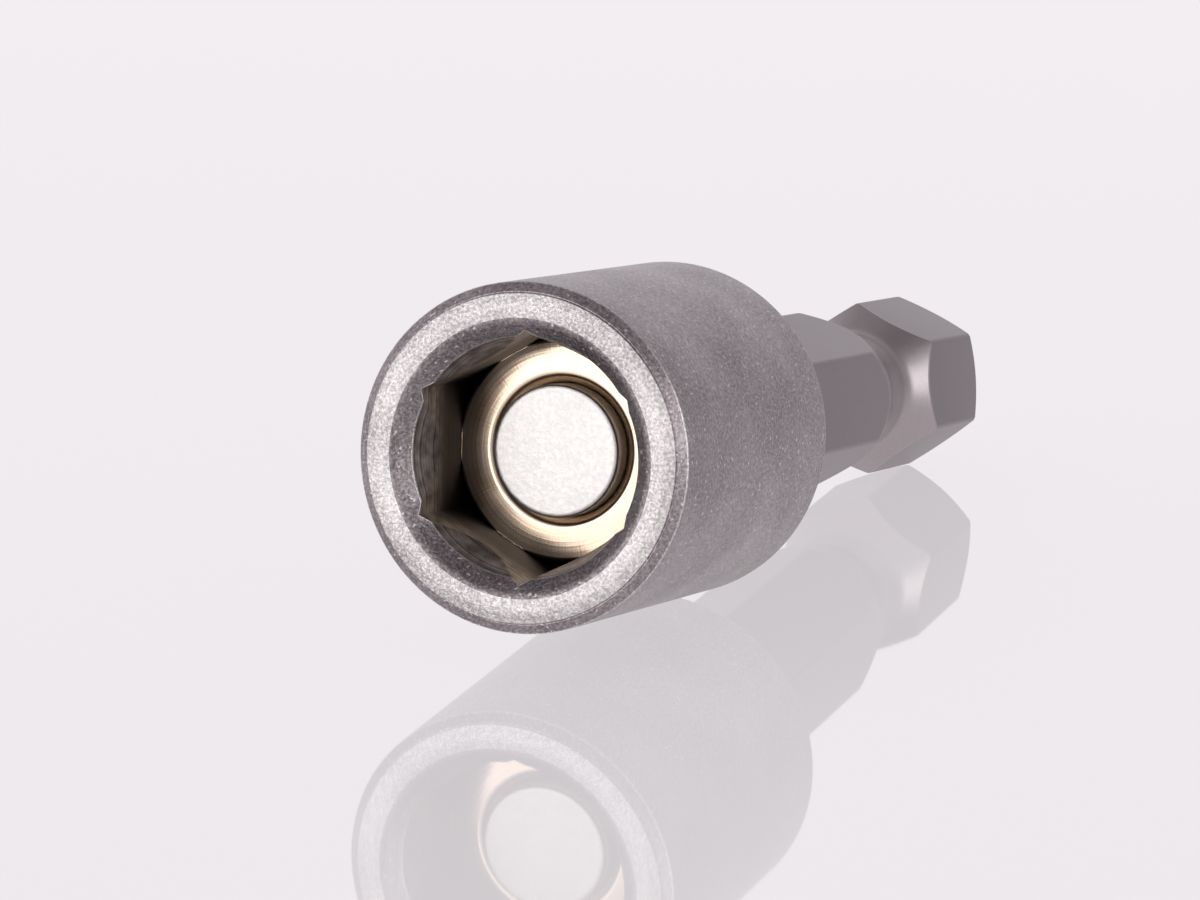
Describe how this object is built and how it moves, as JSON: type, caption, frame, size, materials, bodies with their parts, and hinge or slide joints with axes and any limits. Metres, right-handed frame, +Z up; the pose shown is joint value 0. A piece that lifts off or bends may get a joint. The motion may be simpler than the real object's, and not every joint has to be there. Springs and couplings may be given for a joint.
{
  "type": "magnetic nut setter",
  "caption": "Magnetic nut setter: round steel head with a hexagon socket and a brass-sleeved magnet, on a hexagon shank with a detent groove, for driving hexagon-head screws.",
  "frame": {"origin": "centre of the flat end face of the hexagon shank", "axes": "+Y along the tool's axis, out of the shank's end, with the socket's mouth towards -Y; +Z up, through a corner of the hexagon socket; two flats of the socket face +X and -X"},
  "size_m": [0.013, 0.045, 0.013],
  "materials": {
    "blasted_steel": "bead-blasted, satin grey",
    "bar_steel": "drawn bar, satin grey",
    "turned_brass": "fine turned",
    "nickel_plate": "frosted nickel plate"
  },
  "bodies": {
    "root": {"socket_head": "blasted_steel", "drive_shank": "bar_steel", "magnet_sleeve": "turned_brass", "magnet": "nickel_plate"}
  },
  "joints": []
}
